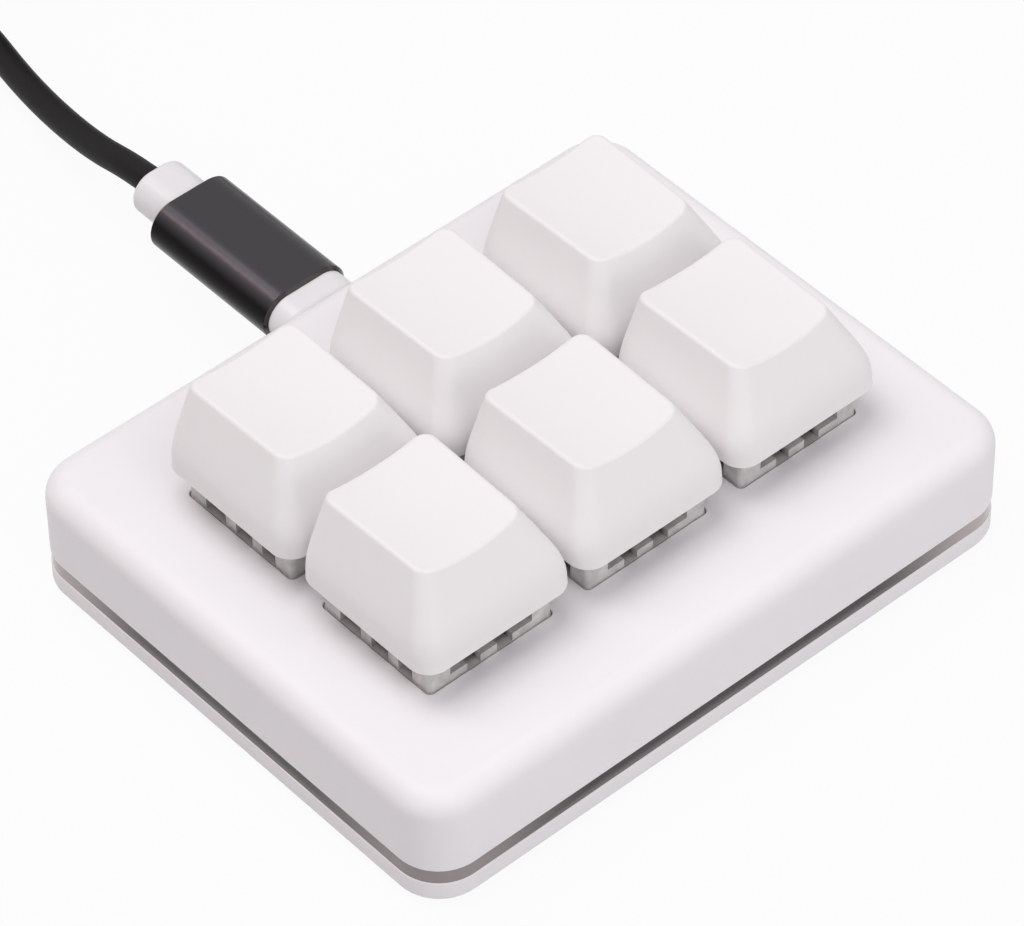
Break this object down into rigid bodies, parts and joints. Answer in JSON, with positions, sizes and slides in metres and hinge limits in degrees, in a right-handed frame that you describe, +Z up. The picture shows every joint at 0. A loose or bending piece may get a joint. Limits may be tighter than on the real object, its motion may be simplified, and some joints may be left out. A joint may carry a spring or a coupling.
{
  "type": "macro keypad",
  "caption": "Desk macro keypad: dished keys on clear linear switches in a three-layer rounded case with a smoked light band, and a detachable USB lead.",
  "frame": {"origin": "middle of the case's outline, on the desk under the rubber feet", "axes": "+X along the long side, +Y to the back where the lead plugs in, +Z up"},
  "size_m": [0.1019, 0.1644, 0.0265],
  "materials": {
    "case_plastic": "fine satin moulding",
    "smoked_acrylic": "polished smoke",
    "foot_rubber": "matte",
    "screw_steel": "plated",
    "board_laminate": "solder mask",
    "chip_epoxy": "moulded",
    "led_resin": "clear resin over a pale chip",
    "contact_brass": "stamped",
    "plated_steel": "bright plated",
    "black_nylon": "moulded",
    "keycap_plastic": "fine satin moulding",
    "stem_acetal": "smooth",
    "spring_steel": "bright wire",
    "clear_polycarbonate": "clear moulding",
    "switch_nylon": "milky translucent moulding",
    "anodised_shell": "dark anodised, bright chamfers",
    "white_core": "smooth moulding",
    "cord_jacket": "smooth matte jacket",
    "tie_fabric": "hook and loop strap"
  },
  "bodies": {
    "case": {"top_case": "case_plastic", "bottom_cover": "case_plastic", "light_band": "smoked_acrylic", "rubber_feet": "foot_rubber", "case_screws": "screw_steel", "circuit_board": "board_laminate", "controller_chip": "chip_epoxy", "key_leds": "led_resin", "contact_leaves": "contact_brass", "usb_port_shell": "plated_steel", "usb_port_tongue": "black_nylon", "switch_spring_1": "spring_steel", "switch_cover_1": "clear_polycarbonate", "switch_base_1": "switch_nylon", "switch_spring_2": "spring_steel", "switch_cover_2": "clear_polycarbonate", "switch_base_2": "switch_nylon", "switch_spring_3": "spring_steel", "switch_cover_3": "clear_polycarbonate", "switch_base_3": "switch_nylon", "switch_spring_4": "spring_steel", "switch_cover_4": "clear_polycarbonate", "switch_base_4": "switch_nylon", "switch_spring_5": "spring_steel", "switch_cover_5": "clear_polycarbonate", "switch_base_5": "switch_nylon", "switch_spring_6": "spring_steel", "switch_cover_6": "clear_polycarbonate", "switch_base_6": "switch_nylon"},
    "usb_lead": {"plug_shell": "anodised_shell", "plug_core": "white_core", "plug_tongue": "plated_steel", "plug_sleeve": "white_core", "cable_lead": "cord_jacket", "cable_coil": "cord_jacket", "cable_tail": "cord_jacket", "cable_tie": "tie_fabric", "host_plug_sleeve": "white_core", "host_plug_shell": "anodised_shell", "host_plug_core": "white_core", "host_plug_metal": "plated_steel", "host_plug_tongue": "black_nylon"},
    "key_1": {"keycap_1": "keycap_plastic", "switch_stem_1": "stem_acetal"},
    "key_2": {"keycap_2": "keycap_plastic", "switch_stem_2": "stem_acetal"},
    "key_3": {"keycap_3": "keycap_plastic", "switch_stem_3": "stem_acetal"},
    "key_4": {"keycap_4": "keycap_plastic", "switch_stem_4": "stem_acetal"},
    "key_5": {"keycap_5": "keycap_plastic", "switch_stem_5": "stem_acetal"},
    "key_6": {"keycap_6": "keycap_plastic", "switch_stem_6": "stem_acetal"}
  },
  "joints": [
    {"name": "key_1_press", "type": "slide", "parent": "case", "child": "key_1", "axis": [0, 0, -1], "range_m": [0, 0.004], "stiffness_N_per_m": 75, "springref_m": -0.0045, "deforming": ["switch_spring_1"]},
    {"name": "key_2_press", "type": "slide", "parent": "case", "child": "key_2", "axis": [0, 0, -1], "range_m": [0, 0.004], "stiffness_N_per_m": 75, "springref_m": -0.0045, "deforming": ["switch_spring_2"]},
    {"name": "key_3_press", "type": "slide", "parent": "case", "child": "key_3", "axis": [0, 0, -1], "range_m": [0, 0.004], "stiffness_N_per_m": 75, "springref_m": -0.0045, "deforming": ["switch_spring_3"]},
    {"name": "key_4_press", "type": "slide", "parent": "case", "child": "key_4", "axis": [0, 0, -1], "range_m": [0, 0.004], "stiffness_N_per_m": 75, "springref_m": -0.0045, "deforming": ["switch_spring_4"]},
    {"name": "key_5_press", "type": "slide", "parent": "case", "child": "key_5", "axis": [0, 0, -1], "range_m": [0, 0.004], "stiffness_N_per_m": 75, "springref_m": -0.0045, "deforming": ["switch_spring_5"]},
    {"name": "key_6_press", "type": "slide", "parent": "case", "child": "key_6", "axis": [0, 0, -1], "range_m": [0, 0.004], "stiffness_N_per_m": 75, "springref_m": -0.0045, "deforming": ["switch_spring_6"]},
    {"name": "plug_pull", "type": "slide", "parent": "case", "child": "usb_lead", "axis": [0, 1, 0], "range_m": [0, 0.0075]}
  ]
}
